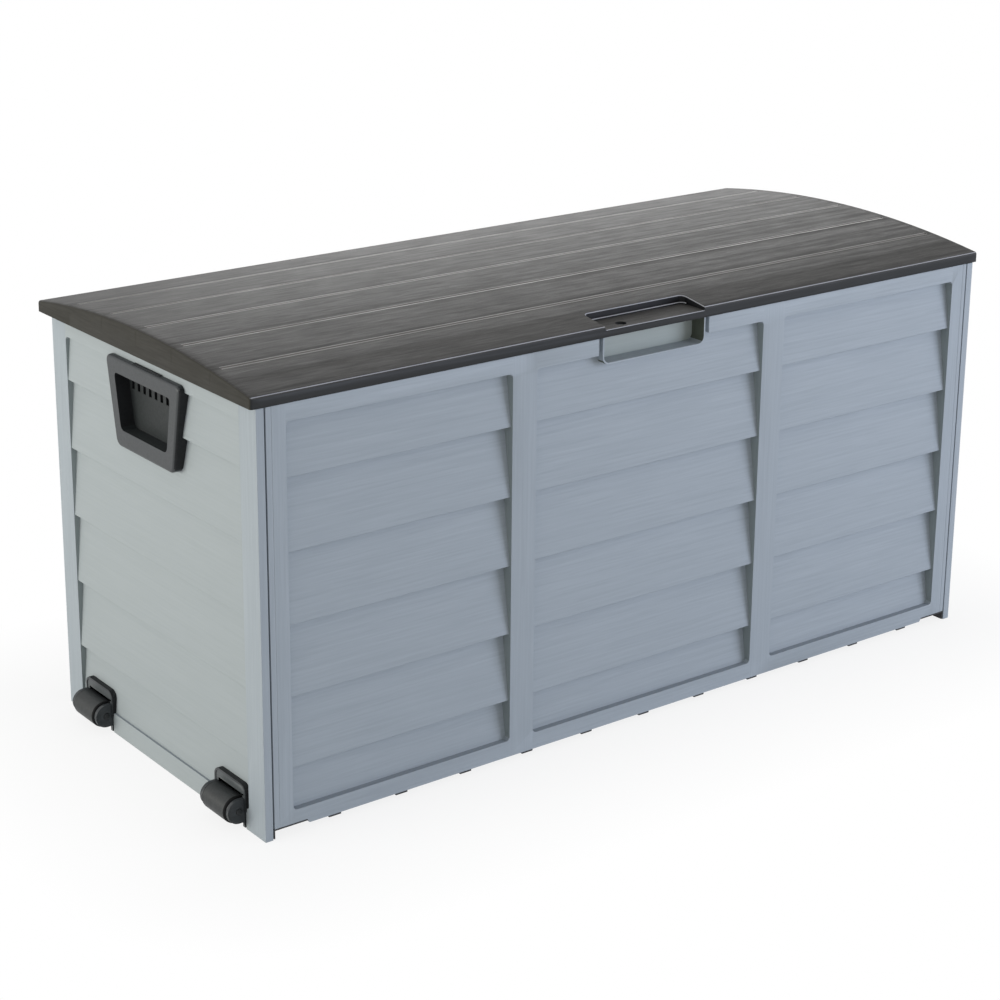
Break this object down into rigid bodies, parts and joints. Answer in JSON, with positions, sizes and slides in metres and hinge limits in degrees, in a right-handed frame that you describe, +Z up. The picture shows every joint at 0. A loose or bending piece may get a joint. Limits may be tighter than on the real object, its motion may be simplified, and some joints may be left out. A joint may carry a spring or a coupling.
{
  "type": "deck storage box",
  "caption": "Lidded outdoor storage box with lap-board walls on a ribbed base, a crowned rear-hinged lid with a padlock tray, end carrying handles and rollers under one end.",
  "frame": {"origin": "centre of the bounding box's footprint, on the floor the box stands on", "axes": "+X along the length, towards the end without rollers; -Y out of the front, where the padlock tray is; +Z up"},
  "size_m": [1.144, 0.49, 0.54],
  "materials": {
    "wall_grey": "matt blue-grey plastic with a fine embossed wood grain",
    "lid_grey": "matt warm dark grey plastic with an embossed wood grain on top",
    "charcoal": "satin charcoal plastic",
    "roller_charcoal": "satin charcoal plastic",
    "base_black": "matt black plastic",
    "pin_dark": "smooth dark grey plastic"
  },
  "bodies": {
    "box": {"base_panel": "base_black", "front_panel": "wall_grey", "back_panel": "wall_grey", "left_side_panel": "wall_grey", "right_side_panel": "wall_grey", "left_handle": "charcoal", "right_handle": "charcoal", "front_roller_bracket": "charcoal", "front_roller_axle": "pin_dark", "rear_roller_bracket": "charcoal", "rear_roller_axle": "pin_dark", "hinge_pin_1": "pin_dark", "hinge_pin_2": "pin_dark", "hinge_pin_3": "pin_dark", "hinge_pin_4": "pin_dark"},
    "lid": {"lid": "lid_grey"},
    "front_roller": {"front_roller": "roller_charcoal"},
    "rear_roller": {"rear_roller": "roller_charcoal"}
  },
  "joints": [
    {"name": "lid_hinge", "type": "hinge", "parent": "box", "child": "lid", "pos_m": [0, 0.234, 0.5], "axis": [-1, 0, 0], "range_deg": [0, 100]},
    {"name": "front_roller_spin", "type": "hinge", "parent": "box", "child": "front_roller", "pos_m": [-0.5555, -0.171, 0.0235], "axis": [0, 1, 0], "continuous": true},
    {"name": "rear_roller_spin", "type": "hinge", "parent": "box", "child": "rear_roller", "pos_m": [-0.5555, 0.141, 0.0235], "axis": [0, 1, 0], "continuous": true}
  ]
}
